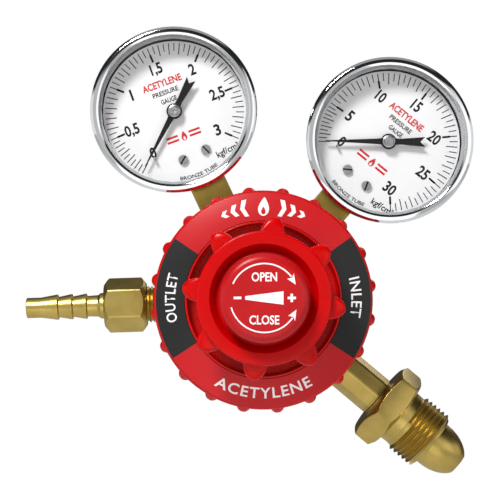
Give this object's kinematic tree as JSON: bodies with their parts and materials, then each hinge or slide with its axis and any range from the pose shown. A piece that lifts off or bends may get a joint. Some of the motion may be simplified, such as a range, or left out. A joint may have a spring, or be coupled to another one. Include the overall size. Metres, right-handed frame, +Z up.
{
  "type": "gas pressure regulator",
  "caption": "Two-gauge gas pressure regulator with a lobed adjusting knob, red bonnet cover, bullet-nose inlet nut and barbed hose outlet.",
  "frame": {"origin": "centre of the inlet nose tip on the inlet axis, the end that enters the cylinder valve", "axes": "+Z up; -Y faces the reader of the gauges, along the knob axis; +X to their right"},
  "size_m": [0.1571, 0.0849, 0.1564],
  "materials": {
    "forged_brass": "satin forged",
    "machined_brass": "machined",
    "steel": "zinc plated",
    "chrome": "polished",
    "sintered_bronze": "matt",
    "gauge_case": "satin black",
    "knob_red": "gloss",
    "cover_red": "gloss",
    "printed_label": "satin printed",
    "knob_label": "satin printed",
    "rubber": "matt",
    "dial_white": "matt printed",
    "pointer_black": "satin",
    "clear_window": "polished"
  },
  "bodies": {
    "root": {"body": "forged_brass", "back_plug": "machined_brass", "seat_nozzle": "machined_brass", "valve_spring": "steel", "diaphragm": "rubber", "slip_ring": "steel", "bonnet": "forged_brass", "bonnet_cover": "cover_red", "label_ring": "printed_label", "main_spring": "steel", "inlet_nipple": "forged_brass", "inlet_filter": "sintered_bronze", "outlet_fitting": "machined_brass", "outlet_gauge_socket": "forged_brass", "outlet_gauge_case": "gauge_case", "outlet_gauge_bezel": "chrome", "outlet_gauge_window_gasket": "rubber", "outlet_gauge_window": "clear_window", "outlet_gauge_dial": "dial_white", "outlet_gauge_dial_screw_1": "steel", "outlet_gauge_dial_screw_2": "steel", "outlet_gauge_stop_pin": "machined_brass", "outlet_gauge_movement_frame": "machined_brass", "outlet_gauge_bourdon_tube": "sintered_bronze", "inlet_gauge_socket": "forged_brass", "inlet_gauge_case": "gauge_case", "inlet_gauge_bezel": "chrome", "inlet_gauge_window_gasket": "rubber", "inlet_gauge_window": "clear_window", "inlet_gauge_dial": "dial_white", "inlet_gauge_dial_screw_1": "steel", "inlet_gauge_dial_screw_2": "steel", "inlet_gauge_stop_pin": "machined_brass", "inlet_gauge_movement_frame": "machined_brass", "inlet_gauge_bourdon_tube": "sintered_bronze"},
    "spring_button": {"spring_button": "steel"},
    "knob": {"knob": "knob_red", "knob_cap": "knob_label", "knob_nut": "steel", "adjusting_screw": "steel"},
    "valve": {"spring_plate": "steel", "pusher_plate": "machined_brass", "valve_poppet": "steel"},
    "inlet_nut": {"inlet_nut": "machined_brass"},
    "hose_nipple": {"hose_nipple": "forged_brass"},
    "outlet_nut": {"outlet_nut": "machined_brass"},
    "outlet_gauge_sector": {"outlet_gauge_sector": "machined_brass"},
    "outlet_gauge_link": {"outlet_gauge_link": "machined_brass"},
    "outlet_gauge_pointer": {"outlet_gauge_pointer": "pointer_black", "outlet_gauge_pointer_cap": "steel", "outlet_gauge_arbor": "steel"},
    "inlet_gauge_sector": {"inlet_gauge_sector": "machined_brass"},
    "inlet_gauge_link": {"inlet_gauge_link": "machined_brass"},
    "inlet_gauge_pointer": {"inlet_gauge_pointer": "pointer_black", "inlet_gauge_pointer_cap": "steel", "inlet_gauge_arbor": "steel"}
  },
  "joints": [
    {"name": "knob_advance", "type": "slide", "parent": "root", "child": "spring_button", "axis": [0, 1, 0], "range_m": [0, 0.00594], "deforming": ["main_spring"]},
    {"name": "knob_turn", "type": "hinge", "parent": "spring_button", "child": "knob", "pos_m": [-0.06902, -0.061, 0.05792], "axis": [0, 1, 0], "range_deg": [0, 1710]},
    {"name": "valve_lift", "type": "slide", "parent": "root", "child": "valve", "axis": [0, 1, 0], "range_m": [0, 0.0008], "stiffness_N_per_m": 400, "deforming": ["diaphragm", "valve_spring"]},
    {"name": "inlet_nut_spin", "type": "hinge", "parent": "root", "child": "inlet_nut", "pos_m": [-0.01846, 0, 0.01549], "axis": [0.766, 0, -0.6428], "continuous": true},
    {"name": "hose_nipple_slide", "type": "slide", "parent": "root", "child": "hose_nipple", "axis": [-0.9995, 0, -0.0314], "range_m": [0, 0.00668]},
    {"name": "outlet_nut_turn", "type": "hinge", "parent": "hose_nipple", "child": "outlet_nut", "pos_m": [-0.118, 0, 0.05638], "axis": [0.9995, 0, 0.0314], "range_deg": [0, 1800]},
    {"name": "outlet_gauge_sector_turn", "type": "hinge", "parent": "root", "child": "outlet_gauge_sector", "pos_m": [-0.1029, -0.003, 0.11139], "axis": [0, -1, 0], "range_deg": [0, 24], "stiffness_Nm_per_rad": 0.02},
    {"name": "outlet_gauge_link_turn", "type": "hinge", "parent": "outlet_gauge_sector", "child": "outlet_gauge_link", "pos_m": [-0.09132, -0.003, 0.11452], "axis": [0, -1, 0], "range_deg": [-24.5, 0]},
    {"name": "outlet_gauge_pointer_turn", "type": "hinge", "parent": "root", "child": "outlet_gauge_pointer", "pos_m": [-0.10003, -0.013, 0.12411], "axis": [0, 1, 0], "range_deg": [0, 266]},
    {"name": "inlet_gauge_sector_turn", "type": "hinge", "parent": "root", "child": "inlet_gauge_sector", "pos_m": [-0.03778, -0.003, 0.11098], "axis": [0, -1, 0], "range_deg": [0, 24], "stiffness_Nm_per_rad": 0.02},
    {"name": "inlet_gauge_link_turn", "type": "hinge", "parent": "inlet_gauge_sector", "child": "inlet_gauge_link", "pos_m": [-0.03027, -0.003, 0.10163], "axis": [0, -1, 0], "range_deg": [-24.5, 0]},
    {"name": "inlet_gauge_pointer_turn", "type": "hinge", "parent": "root", "child": "inlet_gauge_pointer", "pos_m": [-0.02498, -0.013, 0.11346], "axis": [0, 1, 0], "range_deg": [0, 266]}
  ],
  "couplings": [
    {"joint": "knob_turn", "follows": "knob_advance", "rad_per_m": 5026.5},
    {"joint": "outlet_nut_turn", "follows": "hose_nipple_slide", "rad_per_m": 4699.5},
    {"joint": "outlet_gauge_link_turn", "follows": "outlet_gauge_sector_turn", "ratio": -1},
    {"joint": "outlet_gauge_pointer_turn", "follows": "outlet_gauge_sector_turn", "ratio": 11.06},
    {"joint": "inlet_gauge_link_turn", "follows": "inlet_gauge_sector_turn", "ratio": -1},
    {"joint": "inlet_gauge_pointer_turn", "follows": "inlet_gauge_sector_turn", "ratio": 11.06}
  ]
}
